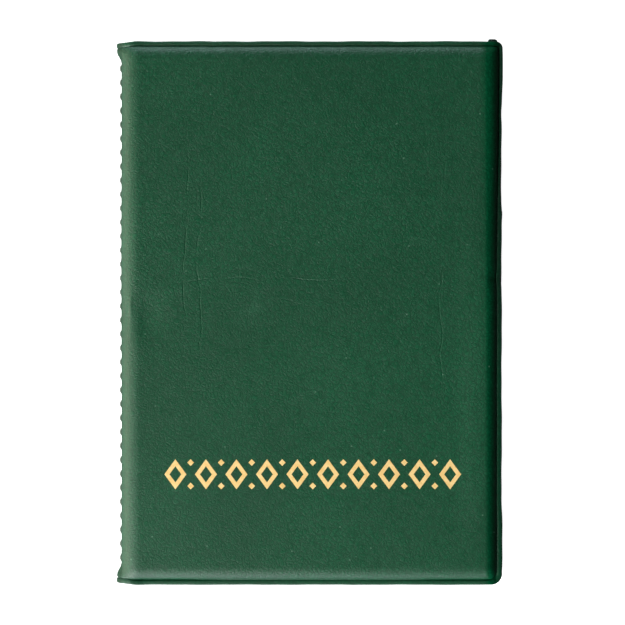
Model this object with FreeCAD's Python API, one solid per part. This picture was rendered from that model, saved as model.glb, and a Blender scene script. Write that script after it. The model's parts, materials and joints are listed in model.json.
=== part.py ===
import FreeCAD
import Part

import math
import os

# Pocket document notebook: a padded, edge-welded vinyl cover with a sewn spine, clear inside
# pockets and six clear sleeve leaves, each holding one loose sheet of paper.
# It lies closed on its back cover. +X points to the fore-edge, +Y to the head, +Z up.
# Heights called h are measured from the plane midway between the covers, and u is measured
# from the spine-side edge of the boards, so the spine's own axis is at u = 0, h = 0.

V = FreeCAD.Vector

# Overall size, mm
HEIGHT = 135.0
THICKNESS = 7.2
WIDTH_OVER_EARS = 95.5
CORNER = 2.0

# Layers of a cover, as thicknesses and as heights from the mid-plane
SKIN = 0.4
PAD = 0.6
BOARD = 0.6
LINING = 0.25
POCKET_FILM = 0.13
POCKET_GAP = 0.08
SKIN_TOP = THICKNESS / 2
PAD_TOP = SKIN_TOP - SKIN
BOARD_TOP = PAD_TOP - PAD
BOARD_FOOT = BOARD_TOP - BOARD
LINING_FOOT = BOARD_FOOT - LINING
POCKET_TOP = LINING_FOOT - POCKET_GAP
POCKET_FOOT = POCKET_TOP - POCKET_FILM

# Edge weld: an outer bead, then a pressed groove, then the padded face
BEAD = 1.2
GROOVE = 0.4
GROOVE_FLOOR = 0.15
EDGE_ROUND = 1.2
FACE_CORNER = 1.4
PAD_CLEARANCE = 0.03
RAMP = 1.4

# Spine: a half tube whose welded ends flare outwards
SPINE_R = THICKNESS / 2
EAR_FLARE = 0.8
EAR_LENGTH = 4.5
FOLD_GAP = 0.1
FRONT_FOLD_DEG = 135.0
BACK_FOLD_DEG = 225.0

# Clear pockets inside the covers
POCKET_REACH = 62.0
POCKET_WELD = 1.2

# Sleeve leaves
FILM = 0.12
INSERT = 0.10
INSERT_PLAY = 0.03
LEAF = 2 * FILM + INSERT + 2 * INSERT_PLAY
LEAF_PITCH = 0.46
INNER_LEAF_H = 0.35
LEAF_ROOT_U = -0.48
LEAF_FORE_MARGIN = 2.6
LEAF_END_MARGIN = 3.0
LEAF_WELD = 1.5
LEAF_CORNER = 2.5
INSERT_SIDE_PLAY = 0.5
INSERT_HEIGHT = 125.0
INSERT_CORNER = 1.0

# Sewn folds of the three sleeve sheets
FOLD_U = -1.48
FOLD_SHEET = 0.30
FOLD_NAMES = ("inner", "middle", "outer")

# Sewing
STITCH_PITCH = 3.48
STITCH_COUNT = 38
STITCH_LENGTH = 1.9
THREAD_R = 0.3
INNER_THREAD_R = 0.15

# Foil ornament: a row of outlined lozenges with small solid ones between them
FOIL = 0.04
FOIL_WIDTH = 73.5
FOIL_HEIGHT = 7.5
FOIL_CENTRE_Y = -39.9
LOZENGE_COUNT = 10
LOZENGE_STROKE = 1.05
LOZENGE_HALF_WIDTH = 2.75
DOT_HALF = 0.85

FORE_X = WIDTH_OVER_EARS / 2
HALF_Y = HEIGHT / 2
BOARD_X = -FORE_X + SPINE_R + EAR_FLARE
FACE_INSET = BEAD + GROOVE
FORE_U = FORE_X - BOARD_X


def at(u, h, y=0.0):
    """A point given from the spine axis."""
    return V(BOARD_X + u, y, THICKNESS / 2 + h)


def prism(outline, half_y):
    """A solid of a (u, h) outline, from -half_y to +half_y."""
    corners = [at(u, h, -half_y) for u, h in outline]
    face = Part.Face(Part.makePolygon(corners + corners[:1]))
    return face.extrude(V(0, 2 * half_y, 0))


def plate(u0, u1, y0, y1, h0, h1, corner=0.0):
    """A flat sheet whose two fore-edge corners are rounded."""
    box = Part.makeBox(u1 - u0, y1 - y0, h1 - h0, at(u0, h0, y0))
    if not corner:
        return box
    fore = [e for e in box.Edges if is_upright(e) and near(e.CenterOfMass.x, BOARD_X + u1)]
    return box.makeFillet(corner, fore)


def near(a, b):
    return abs(a - b) < 1e-6


def is_upright(edge):
    a, b = (v.Point for v in edge.Vertexes)
    return near(a.x, b.x) and near(a.y, b.y)


def polar(r, degrees, y):
    """A point round the spine axis, where 90 degrees is up and 180 points away from the boards."""
    turn = math.radians(degrees)
    return at(r * math.cos(turn), r * math.sin(turn), y)


def ring_sector(r0, r1, start, end, y0, y1):
    """A piece of tube round the spine axis."""
    middle = (start + end) / 2
    outer = Part.Arc(polar(r1, start, y0), polar(r1, middle, y0), polar(r1, end, y0))
    inner = Part.Arc(polar(r0, end, y0), polar(r0, middle, y0), polar(r0, start, y0))
    ends = [
        Part.LineSegment(polar(r1, end, y0), polar(r0, end, y0)),
        Part.LineSegment(polar(r0, start, y0), polar(r1, start, y0)),
    ]
    wire = Part.Wire([outer.toShape(), ends[0].toShape(), inner.toShape(), ends[1].toShape()])
    return Part.Face(wire).extrude(V(0, y1 - y0, 0))


def fused(shapes):
    whole = shapes[0].multiFuse(shapes[1:])
    return whole.removeSplitter()


def mirrored(shape):
    """The same piece on the back cover."""
    return shape.mirror(at(0, 0), V(0, 0, 1))


# Half of the fold gap at the middle of the skin, as an angle
FOLD_HALF_GAP_DEG = math.degrees(FOLD_GAP / 2 / (SPINE_R - SKIN / 2))


def cover_arc(r0, r1):
    """The stretch of a sheet that leaves the cover and rounds into the spine."""
    end = FRONT_FOLD_DEG - FOLD_HALF_GAP_DEG
    return ring_sector(r0, r1, 90.0, end, -HALF_Y, HALF_Y)


def padded_block(inset, top, rounding, corner):
    """The raised part of a cover: flat under, rounded over at head, tail and fore-edge."""
    u1 = FORE_U - FACE_INSET - inset
    half_y = HALF_Y - FACE_INSET - inset
    foot = BOARD_FOOT
    slope_top = PAD_TOP
    outline = [(RAMP, foot), (u1, foot), (u1, top), (0, top)]
    if top > slope_top:
        outline.append((0, slope_top))
    block = prism(outline, half_y)
    fore = [e for e in block.Edges if is_upright(e) and near(e.CenterOfMass.x, BOARD_X + u1)]
    block = block.makeFillet(corner, fore)
    z_top = THICKNESS / 2 + top
    rim = [e for e in block.Edges if rims(e, z_top)]
    return block.makeFillet(rounding, rim)


def rims(edge, z_top):
    """True for the top edges of a padded block, apart from the one along the spine."""
    box = edge.BoundBox
    level = near(box.ZMin, z_top) and near(box.ZMax, z_top)
    return level and not near(box.XMax, BOARD_X)


def weld_groove():
    """The channel between the bead and the padded face."""
    outer = plate(RAMP, FORE_U - BEAD, -HALF_Y + BEAD, HALF_Y - BEAD, 0, 1, CORNER - BEAD / 2)
    inset = HALF_Y - FACE_INSET
    inner = plate(RAMP - 1, FORE_U - FACE_INSET, -inset, inset, -1, 2, FACE_CORNER)
    groove = outer.cut(inner)
    groove.translate(V(0, 0, BOARD_FOOT + GROOVE_FLOOR))
    return groove


def cover_skin():
    bead = plate(RAMP, FORE_U, -HALF_Y, HALF_Y, BOARD_FOOT, BOARD_FOOT + SKIN, CORNER)
    ramp_outline = [
        (RAMP, BOARD_FOOT),
        (RAMP, BOARD_FOOT + SKIN),
        (0, SKIN_TOP),
        (0, PAD_TOP),
    ]
    ramp = prism(ramp_outline, HALF_Y)
    grooved = bead.cut(weld_groove())
    face = padded_block(0, SKIN_TOP, EDGE_ROUND, FACE_CORNER)
    arc = cover_arc(PAD_TOP, SKIN_TOP)
    hollow = padded_block(SKIN, PAD_TOP, EDGE_ROUND - SKIN, FACE_CORNER - SKIN)
    return fused([grooved, ramp, face, arc]).cut(hollow)


def cover_filling(h0, h1):
    """The slice of the skin's hollow between two heights, with a little clearance all round."""
    inset = SKIN + PAD_CLEARANCE
    block = padded_block(inset, PAD_TOP, EDGE_ROUND - inset, FACE_CORNER - inset)
    block.translate(V(PAD_CLEARANCE, 0, 0))
    slab = plate(-1, FORE_U + 1, -HALF_Y, HALF_Y, h0, h1)
    return block.common(slab)


def cover_lining():
    sheet = plate(RAMP, FORE_U, -HALF_Y, HALF_Y, LINING_FOOT, BOARD_FOOT, CORNER)
    ramp_outline = [
        (RAMP, LINING_FOOT),
        (RAMP, BOARD_FOOT),
        (0, PAD_TOP),
        (0, PAD_TOP - LINING),
    ]
    ramp = prism(ramp_outline, HALF_Y)
    return fused([sheet, ramp, cover_arc(PAD_TOP - LINING, PAD_TOP)])


def cover_pocket():
    """A clear flap, welded to the lining at head, fore-edge and tail, open towards the spine."""
    u0 = FORE_U - POCKET_REACH
    film = plate(u0, FORE_U, -HALF_Y, HALF_Y, POCKET_FOOT, POCKET_TOP, CORNER)
    block = plate(u0, FORE_U, -HALF_Y, HALF_Y, POCKET_TOP, LINING_FOOT, CORNER)
    free_y = HALF_Y - POCKET_WELD
    free = plate(u0 - 1, FORE_U - POCKET_WELD, -free_y, free_y, POCKET_TOP, LINING_FOOT)
    return fused([film, block.cut(free)])


def ear(sign, r0, r1):
    """One flared end of a sheet round the spine. sign is +1 at the head and -1 at the tail."""
    start = at(0, 0, sign * (HALF_Y - EAR_LENGTH))
    way = V(0, sign, 0)
    outer = Part.makeCone(r1, r1 + EAR_FLARE, EAR_LENGTH, start, way)
    inner = Part.makeCone(r0, r0 + EAR_FLARE, EAR_LENGTH, start, way)
    return outer.cut(inner)


def spine_sheet(r0, r1, weld_depth=0.0):
    """A sheet round the spine between the two fold lines, with its flared ends."""
    start = FRONT_FOLD_DEG + FOLD_HALF_GAP_DEG
    end = BACK_FOLD_DEG - FOLD_HALF_GAP_DEG
    straight = HALF_Y - EAR_LENGTH
    wedge = ring_sector(0.5, r1 + 2, start, end, -HALF_Y, HALF_Y)
    tube = ring_sector(r0, r1, start, end, -straight, straight)
    ears = [ear(sign, r0, r1).common(wedge) for sign in (1, -1)]
    sheet = fused([tube, *ears])
    if not weld_depth:
        return sheet
    for sign in (1, -1):
        y = sign * (HALF_Y - BEAD - GROOVE / 2)
        r_here = r1 + EAR_FLARE * (1 - (BEAD + GROOVE / 2) / EAR_LENGTH) - weld_depth
        sheet = sheet.cut(ring_sector(r_here, r1 + 2, start, end, y - GROOVE / 2, y + GROOVE / 2))
    return sheet


def sewn_fold(h):
    """The fold of one sleeve sheet, a half ring that joins the leaves at +h and -h."""
    r0, r1 = h - FOLD_SHEET / 2, h + FOLD_SHEET / 2
    ring = ring_sector(r0, r1, 90.0, 270.0, -HALF_Y + LEAF_END_MARGIN, HALF_Y - LEAF_END_MARGIN)
    ring.translate(V(FOLD_U, 0, 0))
    return ring


def rod(r, start, end):
    way = end - start
    return Part.makeCylinder(r, way.Length, start, way)


def spine_stitching():
    """One thread: runs along the outside, down through every layer, and along the innermost fold."""
    outer_u = -SPINE_R
    first_y = -(STITCH_COUNT - 1) * STITCH_PITCH / 2
    pieces = []
    for i in range(STITCH_COUNT):
        y = first_y + i * STITCH_PITCH
        ends = (y - STITCH_LENGTH / 2, y + STITCH_LENGTH / 2)
        pieces.append(rod(THREAD_R, at(outer_u, 0, ends[0]), at(outer_u, 0, ends[1])))
        for end_y in ends:
            pieces.append(Part.makeSphere(THREAD_R, at(outer_u, 0, end_y)))
            pieces.append(rod(INNER_THREAD_R, at(outer_u, 0, end_y), at(FOLD_U, 0, end_y)))
            pieces.append(Part.makeSphere(INNER_THREAD_R, at(FOLD_U, 0, end_y)))
        if i < STITCH_COUNT - 1:
            next_y = y + STITCH_PITCH - STITCH_LENGTH / 2
            pieces.append(rod(INNER_THREAD_R, at(FOLD_U, 0, ends[1]), at(FOLD_U, 0, next_y)))
    return pieces[0].multiFuse(pieces[1:])


def lozenge(x, half_w, half_h):
    z = THICKNESS
    ring = [
        V(x - half_w, FOIL_CENTRE_Y, z),
        V(x, FOIL_CENTRE_Y - half_h, z),
        V(x + half_w, FOIL_CENTRE_Y, z),
        V(x, FOIL_CENTRE_Y + half_h, z),
    ]
    return Part.Face(Part.makePolygon(ring + ring[:1])).extrude(V(0, 0, FOIL))


def foil_ornament():
    step = (FOIL_WIDTH - 2 * LOZENGE_HALF_WIDTH) / (LOZENGE_COUNT - 1)
    centre_x = (BOARD_X - SPINE_R + FORE_X) / 2
    half_h = FOIL_HEIGHT / 2
    shrink = 1 - LOZENGE_STROKE * math.hypot(LOZENGE_HALF_WIDTH, half_h) / (
        LOZENGE_HALF_WIDTH * half_h
    )
    marks = []
    for i in range(LOZENGE_COUNT):
        x = centre_x + (i - (LOZENGE_COUNT - 1) / 2) * step
        hole = lozenge(x, LOZENGE_HALF_WIDTH * shrink, half_h * shrink)
        marks.append(lozenge(x, LOZENGE_HALF_WIDTH, half_h).cut(hole))
        if i < LOZENGE_COUNT - 1:
            for side in (1, -1):
                dot = lozenge(x + step / 2, DOT_HALF, DOT_HALF)
                dot.translate(V(0, side * (half_h - DOT_HALF), 0))
                marks.append(dot)
    return Part.makeCompound(marks)


def leaf_heights():
    """The six leaves from the front cover to the back cover."""
    above = [INNER_LEAF_H + i * LEAF_PITCH for i in range(3)]
    return above[::-1] + [-h for h in above]


def leaf_sheet(h0, h1):
    y = HALF_Y - LEAF_END_MARGIN
    return plate(LEAF_ROOT_U, FORE_U - LEAF_FORE_MARGIN, -y, y, h0, h1, LEAF_CORNER)


def front_film(h):
    return leaf_sheet(h + LEAF / 2 - FILM, h + LEAF / 2)


def back_film(h):
    """The rear film of a sleeve, with the welds that join it to the front film on three sides."""
    film = leaf_sheet(h - LEAF / 2, h - LEAF / 2 + FILM)
    low, high = h - LEAF / 2 + FILM, h + LEAF / 2 - FILM
    y = HALF_Y - LEAF_END_MARGIN
    u0 = LEAF_ROOT_U + LEAF_WELD
    u1 = FORE_U - LEAF_FORE_MARGIN - LEAF_WELD
    free = plate(u0, u1, -y + LEAF_WELD, y + 1, low, high)
    return fused([film, leaf_sheet(low, high).cut(free)])


def insert(h):
    u0 = LEAF_ROOT_U + LEAF_WELD + INSERT_SIDE_PLAY
    u1 = FORE_U - LEAF_FORE_MARGIN - LEAF_WELD - INSERT_SIDE_PLAY
    y0 = -HALF_Y + LEAF_END_MARGIN + LEAF_WELD + INSERT_SIDE_PLAY
    return plate(u0, u1, y0, y0 + INSERT_HEIGHT, h - INSERT / 2, h + INSERT / 2, INSERT_CORNER)


def all_nodes():
    nodes = {}
    front = {
        "skin": cover_skin(),
        "pad": cover_filling(BOARD_TOP, PAD_TOP),
        "board": cover_filling(BOARD_FOOT, BOARD_TOP),
        "lining": cover_lining(),
        "pocket": cover_pocket(),
    }
    for name, shape in front.items():
        nodes[f"front_{name}"] = shape
        nodes[f"back_{name}"] = mirrored(shape)
    nodes["spine_skin"] = spine_sheet(PAD_TOP, SKIN_TOP, SKIN - GROOVE_FLOOR)
    nodes["spine_lining"] = spine_sheet(PAD_TOP - LINING, PAD_TOP)
    nodes["spine_stitching"] = spine_stitching()
    nodes["foil_ornament"] = foil_ornament()
    for i, name in enumerate(FOLD_NAMES):
        nodes[f"{name}_fold"] = sewn_fold(INNER_LEAF_H + i * LEAF_PITCH)
    for number, h in enumerate(leaf_heights(), start=1):
        nodes[f"leaf_{number}_front_film"] = front_film(h)
        nodes[f"leaf_{number}_back_film"] = back_film(h)
        nodes[f"leaf_{number}_insert"] = insert(h)
    return nodes


def main():
    os.makedirs("parts", exist_ok=True)
    for name, shape in all_nodes().items():
        box = shape.BoundBox
        state = "valid" if shape.isValid() else "INVALID"
        print(
            f"{name:22s} {state} solids {len(shape.Solids):3d} volume {shape.Volume:9.2f} "
            f"x {box.XMin:.2f} {box.XMax:.2f} y {box.YMin:.2f} {box.YMax:.2f} "
            f"z {box.ZMin:.2f} {box.ZMax:.2f}"
        )
        shape.exportStep(f"parts/{name}.step")


main()
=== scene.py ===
import json
import math

import bmesh
import bpy
import numpy as np
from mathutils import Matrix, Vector


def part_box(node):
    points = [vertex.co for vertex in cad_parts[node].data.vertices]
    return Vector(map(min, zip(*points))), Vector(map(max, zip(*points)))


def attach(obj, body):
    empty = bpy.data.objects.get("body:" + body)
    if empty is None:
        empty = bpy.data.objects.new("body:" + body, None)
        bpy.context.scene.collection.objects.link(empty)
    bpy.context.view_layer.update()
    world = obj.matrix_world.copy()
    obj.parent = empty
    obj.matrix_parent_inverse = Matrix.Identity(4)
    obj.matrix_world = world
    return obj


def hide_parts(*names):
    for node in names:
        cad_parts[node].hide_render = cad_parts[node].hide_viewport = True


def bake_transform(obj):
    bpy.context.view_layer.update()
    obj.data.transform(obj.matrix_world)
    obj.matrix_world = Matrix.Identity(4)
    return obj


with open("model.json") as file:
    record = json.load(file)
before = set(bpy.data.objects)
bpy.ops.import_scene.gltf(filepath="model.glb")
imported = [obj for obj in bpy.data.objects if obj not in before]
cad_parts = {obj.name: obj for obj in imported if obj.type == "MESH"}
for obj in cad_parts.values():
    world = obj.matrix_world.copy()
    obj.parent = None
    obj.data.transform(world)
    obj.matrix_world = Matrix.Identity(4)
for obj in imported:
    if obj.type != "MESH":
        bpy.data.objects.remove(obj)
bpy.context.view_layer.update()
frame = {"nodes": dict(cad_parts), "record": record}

# Everything below is worked out in millimetres and turned into metres when a mesh is made.
# s runs along the skin from the middle of the spine, round it and across to the fore-edge.
# u and h are measured from the spine's own axis, towards the fore-edge and up.
MM = 0.001
JOINTS = {joint["name"]: joint for joint in frame["record"]["behaviour"]["joints"]}


def low(node):
    return np.array(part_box(node)[0]) / MM


def high(node):
    return np.array(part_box(node)[1]) / MM


# Sizes read from the CAD frame
TOP = high("front_skin")[2]
MID = TOP / 2
SPINE_R = TOP / 2
FORE_X = high("front_skin")[0]
HALF_Y = high("front_skin")[1]
SPINE_X = JOINTS["spine_hinge"]["pos_m"][0] / MM + math.pi / 4 * SPINE_R
BOARD_FOOT = low("front_board")[2] - MID
BOARD_TOP = high("front_board")[2] - MID
PAD_TOP = high("front_pad")[2] - MID
SKIN = SPINE_R - PAD_TOP
LINING = BOARD_FOOT - (low("front_lining")[2] - MID)
ARC = math.pi / 2 * SPINE_R
S_END = ARC + FORE_X - SPINE_X

# Edge weld: its bead and groove, measured inwards from the outline
EDGE_DROP = 1.38
WELD_THINNING = 0.12
BEAD_CROWN = 0.06
BEAD_TO_GROOVE = 0.2
EDGE_ROLL = 0.2
ROLL_RUN = 0.3
GROOVE_HEAD = 1.25
GROOVE_TAIL = 1.36
GROOVE_FORE_HEAD = 0.85
GROOVE_FORE_TAIL = 1.32
GROOVE_WIDTH = 0.19
GROOVE_DEPTH = 0.24
GROOVE_RIPPLE = 0.18
GROOVE_FAINTER = 0.6
FORE_DROOP = 0.3
DROOP_RUN = 1.2

# Padding: how the face rises from the groove
RISE_RUN = 4.0
FORE_RISE_RUN = 3.65
RISE_POWER = 3.0
UNEVENNESS = 0.022
FORE_SWELL = 0.3
SHOULDER_U = 1.3

# Outline: its corners, the ears at the ends of the spine, and its wear
CORNER_ZONE = 5.0
CORNER_BLEND = 2.4
HEAD_CORNER = 1.7
TAIL_CORNER = 2.7
EAR_REACH = 1.1
EAR_START = 5.4
EAR_RUN = 3.4
EAR_WIDTH = 3.4
END_PULL = 0.45
WEAR_REACH = 1.6
TAB_REACH = 1.0

# The crimp in the fore-edge, and the dent where the spine has been bent
CRIMP_Y = 8.7
CRIMP_HOLLOW = 0.32
CRIMP_WRINKLE = 0.16
CRIMP_SHIFT = 0.2
KINK_ON_SPINE = 0.3
KINK_ON_FACE = 0.34
KINK_LIP = 0.2

# Painted shade and dulling beside the fore-edge
SHADE_REACH = 3.15
SHADE_LESS_AT_HEAD = 0.3
SHADE_RUN = 1.8
DULL_REACH = 4.5
DULL_MORE_AT_HEAD = 0.8
DULL_RUN = 1.5
FLANGE_HEAD = 0.8
FLANGE_TAIL = 1.67

# Layers under the skin
LINING_RAMP = 1.5
PAD_INSET = 2.2
CLEARANCE = 0.01

# How finely the covers are meshed by their edges and round the spine
COVER_FINE_RUN = 4.4
SPINE_STEP = 0.36

# Sewing
STITCH_COUNT = 38
STITCH_LENGTH = 1.9
THREAD_R = 0.28
THREAD_PROUD = 0.12
PLY_COUNT = 3
PLY_TURN = 1.25
PLY_OFFSET_SHARE = 0.48
PLY_R_SHARE = 0.56
THINNER_INSIDE = 0.42
STITCH_PINCH = 0.07
CAD_THREAD_R = 0.3
STITCH_SPAN = 2 * (high("spine_stitching")[1] - CAD_THREAD_R) - STITCH_LENGTH
STITCH_PITCH = STITCH_SPAN / (STITCH_COUNT - 1)

# Sleeve leaves
LEAF_COUNT = 6
FILM = high("leaf_1_front_film")[2] - low("leaf_1_front_film")[2]
LEAF_HALF_GAP = (high("leaf_1_front_film")[2] - low("leaf_1_back_film")[2] - FILM) / 2
LEAF_HALF_Y = high("leaf_1_front_film")[1]
LEAF_END_U = high("leaf_1_front_film")[0] - SPINE_X
FOLD_U = high("outer_fold")[0] - SPINE_X
FOLD_HALF_GAP = 0.09
LEAF_CORNER = 2.5
ROOT_RUN = 4.4


def smooth(t):
    """0 below 0, 1 above 1 and an even S between."""
    t = np.clip(t, 0.0, 1.0)
    return t * t * (3 - 2 * t)


def rising(x, start, run):
    """0 up to start and 1 a run further on."""
    return smooth((x - start) / run)


def falling(x, end, run):
    """1 until a run before end, and 0 past it."""
    return smooth((end - x) / run)


def bump_at(x, centre, width):
    """1 at the centre, fading to nothing about two widths away."""
    return np.exp(-(((x - centre) / width) ** 2))


# ---------------------------------------------------------------- meshes


def make_object(name, points, faces, sharp_degrees=50.0):
    """A smooth-shaded mesh object from points in millimetres, its normals facing out."""
    mesh = bpy.data.meshes.new(name)
    mesh.from_pydata((np.asarray(points) * MM).tolist(), [], faces)
    work = bmesh.new()
    work.from_mesh(mesh)
    bmesh.ops.remove_doubles(work, verts=work.verts, dist=1e-7)
    bmesh.ops.recalc_face_normals(work, faces=work.faces)
    work.to_mesh(mesh)
    work.free()
    mesh.shade_smooth()
    mesh.set_sharp_from_angle(angle=math.radians(sharp_degrees))
    piece = bpy.data.objects.new(name, mesh)
    bpy.context.collection.objects.link(piece)
    return piece


def grid_faces(rows, cols, first=0):
    """Quads over a grid of points, row by row."""
    corner = first + np.arange(rows * cols).reshape(rows, cols)
    quads = np.stack(
        [corner[:-1, :-1], corner[:-1, 1:], corner[1:, 1:], corner[1:, :-1]], axis=-1
    )
    return quads.reshape(-1, 4)


def shell(name, outer, inner, sharp_degrees=50.0):
    """A closed sheet between two grids of points of the same size."""
    rows, cols = outer.shape[:2]
    count = rows * cols
    top = grid_faces(rows, cols)
    bottom = grid_faces(rows, cols, count)[:, ::-1]
    index = np.arange(count).reshape(rows, cols)
    rim = np.concatenate([index[0, :-1], index[:-1, -1], index[-1, :0:-1], index[:0:-1, 0]])
    after = np.roll(rim, -1)
    walls = np.stack([rim, rim + count, after + count, after], axis=-1)
    faces = np.concatenate([top, bottom, walls]).tolist()
    points = np.concatenate([outer.reshape(-1, 3), inner.reshape(-1, 3)])
    return make_object(name, points, faces, sharp_degrees)


def graded(length, fine_run, fine_step, coarse_step):
    """Distances from 0 to length, closest together over the first fine_run."""
    fine = np.arange(0, fine_run, fine_step)
    count = max(1, int(round((length - fine_run) / coarse_step)))
    return np.concatenate([fine, np.linspace(fine_run, length, count + 1)])


def mirrored_rows(half):
    """Distances from both ends of the sheet, as y from tail to head."""
    from_end = HALF_Y - half
    return np.concatenate([-from_end, from_end[-2::-1]])


def place(u, y, h, side):
    """Points in the frame. side is 1 for the front cover and -1 for the back."""
    return np.stack([SPINE_X + u, y, MID + side * h], axis=-1)


def round_corners(s, y, end_s, half_y, zone, head_radius, tail_radius):
    """Moves grid points so that the two corners at end_s are round.

    Returns the points and how far each ring of them lies from the outline."""
    ds, dy = end_s - s, half_y - np.abs(y)
    p, q = zone - ds, zone - dy
    inside = (p > 0) & (q > 0)
    major, minor = np.maximum(p, q), np.minimum(p, q)
    radius = np.where(y > 0, head_radius, tail_radius) * major / zone
    t = np.clip((minor - (major - radius)) / np.maximum(radius, 1e-9), 0, 1)
    turn = math.pi / 4 * t
    on_arc = t > 0
    far = np.where(on_arc, major - radius + radius * np.cos(turn), major)
    near = np.where(on_arc, major - radius + radius * np.sin(turn), minor)
    new_p, new_q = np.where(p >= q, far, near), np.where(p >= q, near, far)
    new_s = np.where(inside, end_s - zone + new_p, s)
    new_y = np.where(inside, np.sign(y) * (half_y - zone + new_q), y)
    return new_s, new_y, np.minimum(ds, dy)


# ---------------------------------------------------------------- cover


def carrier(s):
    """The plain half-book curve that the skin follows, and its outward normal."""
    turn = math.pi - np.minimum(s, ARC) / SPINE_R
    u = SPINE_R * np.cos(turn) + np.maximum(s - ARC, 0)
    return u, SPINE_R * np.sin(turn), np.cos(turn), np.sin(turn)


def face_unevenness(u, y, side):
    """The padded face lies a little unevenly on its board."""
    x = u / 21.0 + 0.7 * side
    v = y / 27.0
    waves = np.sin(x * 2.1 + v)
    waves = waves + np.sin(v * 2.7 - x * 1.3 + 1.1)
    waves = waves + np.sin(x * 3.4 - v * 1.9 + side)
    return UNEVENNESS * waves


def fore_swell(s, y):
    """The face swells beside the fore-edge, over the board's own edge, most towards the tail."""
    from_fore = S_END - s
    across = falling(from_fore, end=12.0, run=6.0) * rising(from_fore, start=0.0, run=4.6)
    towards_tail = 0.35 + 0.65 * falling(y, end=45.0, run=75.0)
    along = towards_tail * rising(y, start=-62.0, run=22.0)
    return FORE_SWELL * across * along * falling(np.abs(y), end=HALF_Y, run=6.0)


def fore_crimp(s, y):
    """A crimp in the fore-edge weld: a small hollow with a raised wrinkle outside it."""
    from_fore = S_END - s
    hollow = CRIMP_HOLLOW * bump_at(from_fore, centre=2.5, width=0.8)
    hollow = hollow * bump_at(y, centre=CRIMP_Y, width=1.3)
    wrinkle = CRIMP_WRINKLE * bump_at(from_fore, centre=1.5, width=0.45)
    wrinkle = wrinkle * bump_at(y, centre=CRIMP_Y + 0.5, width=1.1)
    return wrinkle - hollow


def spine_kink(s, y, side):
    """A shallow dent in the front where the spine has been bent, with a lip above it."""
    if side < 0:
        return 0.0
    tail_fade = rising(y, start=-9.0, run=8.0)
    on_spine = KINK_ON_SPINE * bump_at(s, centre=2.4, width=1.2) * falling(y, end=3.9, run=1.0)
    on_face = KINK_ON_FACE * bump_at(s, centre=9.0, width=3.4) * falling(y, end=6.5, run=6.0)
    lip = KINK_LIP * bump_at(s, centre=4.6, width=0.6) * bump_at(y, centre=1.4, width=2.4)
    return lip - (on_spine + on_face) * tail_fade


def stitch_pinch(s, y):
    """The thread pulls the skin in between one stitch and the next."""
    wave = (1 - np.cos(2 * math.pi * (y + STITCH_SPAN / 2) / STITCH_PITCH)) / 2
    sewn = falling(np.abs(y), end=STITCH_SPAN / 2 + 2, run=1.5)
    return -STITCH_PINCH * wave * sewn * bump_at(s, centre=0.0, width=0.9)


def spine_shoulder(s):
    """The padding rounds the spine off into the face: an ellipse inside the plain curve."""
    centre, reach = SHOULDER_U, SPINE_R + SHOULDER_U
    turn = math.pi - np.minimum(s, ARC) / SPINE_R
    a = (np.cos(turn) / reach) ** 2 + (np.sin(turn) / SPINE_R) ** 2
    b = -centre * np.cos(turn) / reach**2
    c = (centre / reach) ** 2 - 1
    radial = (-b + np.sqrt(b * b - a * c)) / a
    off_end = np.clip((centre - np.maximum(s - ARC, 0)) / reach, 0, 1)
    flat = SPINE_R * np.sqrt(1 - off_end**2)
    return np.where(s < ARC, radial, flat) - SPINE_R


def cover_share(s):
    """0 at the middle of the spine and 1 once the skin lies over the board."""
    return rising(s, start=0.8, run=ARC + 1.7)


def nearer_fore(s, y):
    """1 beside the fore-edge and 0 beside the head and tail, with the change at the corners."""
    return smooth((HALF_Y - np.abs(y) - (S_END - s)) / CORNER_BLEND + 0.5)


def flange_narrows(y):
    """0 along most of the fore-edge and 1 by the head, where the flange is narrower."""
    return rising(y, start=12.0, run=35.0)


def groove_at(s, y):
    """How far in from the outline the pressed groove runs: the welding was not quite square."""
    on_ends = np.where(y > 0, GROOVE_HEAD, GROOVE_TAIL)
    on_fore = GROOVE_FORE_TAIL + (GROOVE_FORE_HEAD - GROOVE_FORE_TAIL) * flange_narrows(y)
    on_fore = on_fore + CRIMP_SHIFT * bump_at(y, centre=CRIMP_Y, width=1.6)
    return on_ends + (on_fore - on_ends) * nearer_fore(s, y)


def base_level(s, y, d, side):
    """How far the skin stands off the carrier, without the weld's own detail."""
    from_end = HALF_Y - np.abs(y)
    run = RISE_RUN + (FORE_RISE_RUN - RISE_RUN) * nearer_fore(s, y)
    t = np.clip((d - groove_at(s, y)) / run, 0, 1)
    cover = cover_share(s)
    drop = -EDGE_DROP * (1 - t) ** RISE_POWER * cover
    flare = EAR_REACH * falling(from_end, EAR_START, EAR_RUN) * (1 - smooth(s / EAR_WIDTH))
    uneven = face_unevenness(s - ARC, y, side) * rising(d, start=1.5, run=6.0)
    dents = fore_swell(s, y) + fore_crimp(s, y) + spine_kink(s, y, side)
    return drop + flare + uneven + dents + spine_shoulder(s)


def fore_droop(s, y, d):
    """The narrow flange along the fore-edge hangs down a little."""
    return -FORE_DROOP * nearer_fore(s, y) * np.clip(1 - d / DROOP_RUN, 0, 1)


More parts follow.
